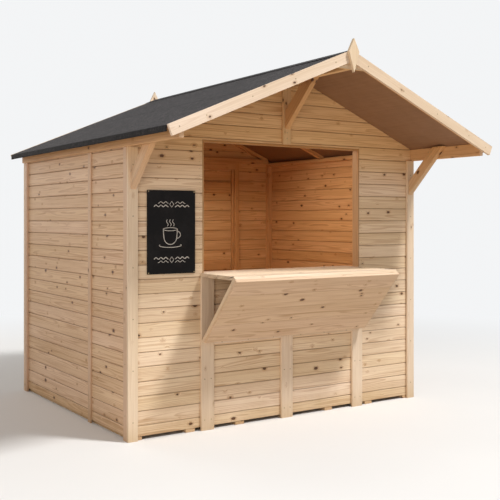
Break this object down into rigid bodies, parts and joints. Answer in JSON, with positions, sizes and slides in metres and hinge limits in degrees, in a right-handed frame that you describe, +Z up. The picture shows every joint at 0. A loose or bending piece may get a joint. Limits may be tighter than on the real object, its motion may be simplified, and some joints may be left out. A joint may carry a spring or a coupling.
{
  "type": "wooden market stall",
  "caption": "Boarded timber kiosk with a serving hatch, counter shelf over a sloping apron, pitched felt roof reaching forward on knee braces, and a hinged rear door.",
  "frame": {"origin": "centre of the footprint at ground level, on the underside of the middle floor bearer", "axes": "+X to the right as seen from the front, +Y to the back, +Z up; the hatch faces -Y"},
  "size_m": [2.641, 2.762, 2.5455],
  "materials": {
    "pine_boards": "planed softwood boards, matt",
    "planed_trim": "planed softwood, matt",
    "frame_timber": "sawn softwood, matt",
    "sheet_deck": "brown sheet boards, matt",
    "roof_felt": "mineral roofing felt, rough",
    "sign_black": "black board, matt",
    "black_iron": "black painted, satin"
  },
  "bodies": {
    "stall": {"apex_gussets": "planed_trim", "bargeboards_left": "planed_trim", "bargeboards_right": "planed_trim", "corner_boards": "planed_trim", "corner_posts": "frame_timber", "counter_flap_boards": "pine_boards", "counter_flap_rails": "planed_trim", "counter_flap_stiles": "planed_trim", "counter_shelf": "planed_trim", "door_frame_head": "frame_timber", "door_hinge_plates": "black_iron", "door_stops": "planed_trim", "eave_beams": "planed_trim", "end_plates": "frame_timber", "finials": "planed_trim", "flap_ledge": "planed_trim", "floor_bearers": "frame_timber", "floor_deck": "sheet_deck", "front_battens": "planed_trim", "front_gable": "pine_boards", "front_wall_below_counter": "pine_boards", "front_wall_left": "pine_boards", "front_wall_right": "pine_boards", "gable_rails": "frame_timber", "hatch_head_lining": "planed_trim", "hatch_side_linings": "planed_trim", "hatch_sill": "frame_timber", "knee_braces": "planed_trim", "left_wall": "pine_boards", "rafters": "frame_timber", "rear_gable": "pine_boards", "rear_wall_below_door": "pine_boards", "rear_wall_left": "pine_boards", "rear_wall_over_door": "pine_boards", "rear_wall_right": "pine_boards", "ridge_beam": "planed_trim", "right_wall": "pine_boards", "roof_deck_left": "sheet_deck", "roof_deck_right": "sheet_deck", "roof_felt_left": "roof_felt", "roof_felt_right": "roof_felt", "side_battens": "planed_trim", "side_plates": "frame_timber", "sign_board": "sign_black", "wall_studs": "frame_timber"},
    "door": {"door_leaf": "pine_boards", "door_ledges": "planed_trim", "door_hinge_straps": "black_iron", "door_handle": "black_iron"}
  },
  "joints": [
    {"name": "door_hinge", "type": "hinge", "parent": "stall", "child": "door", "pos_m": [-0.0225, 0.9695, 0.972], "axis": [0, 0, 1], "range_deg": [0, 100]}
  ]
}
